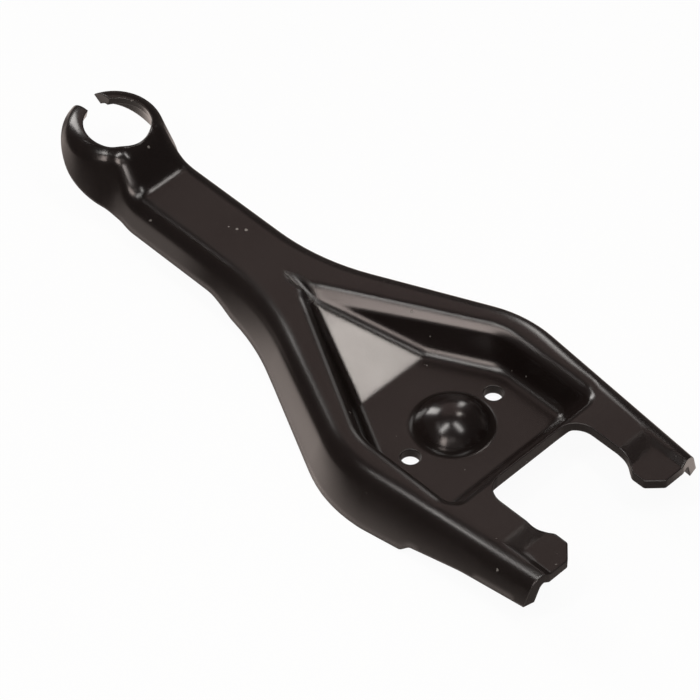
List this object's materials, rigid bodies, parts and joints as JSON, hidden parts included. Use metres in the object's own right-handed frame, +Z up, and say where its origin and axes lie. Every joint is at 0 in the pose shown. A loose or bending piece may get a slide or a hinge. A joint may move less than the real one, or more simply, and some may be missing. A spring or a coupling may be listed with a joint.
{
  "type": "clutch fork",
  "caption": "Pressed steel clutch release fork with two bearing pads, a domed pivot seat and an open ring for the push rod.",
  "frame": {"origin": "upper face of the web in the middle of the pivot seat, midway between the two retainer holes", "axes": "+X along the fork towards the tips of the prongs, +Z up out of the web on the domed side, +Y across the fork"},
  "size_m": [0.205, 0.081, 0.0271],
  "materials": {
    "painted_steel": "gloss"
  },
  "bodies": {
    "root": {"fork": "painted_steel"}
  },
  "joints": []
}
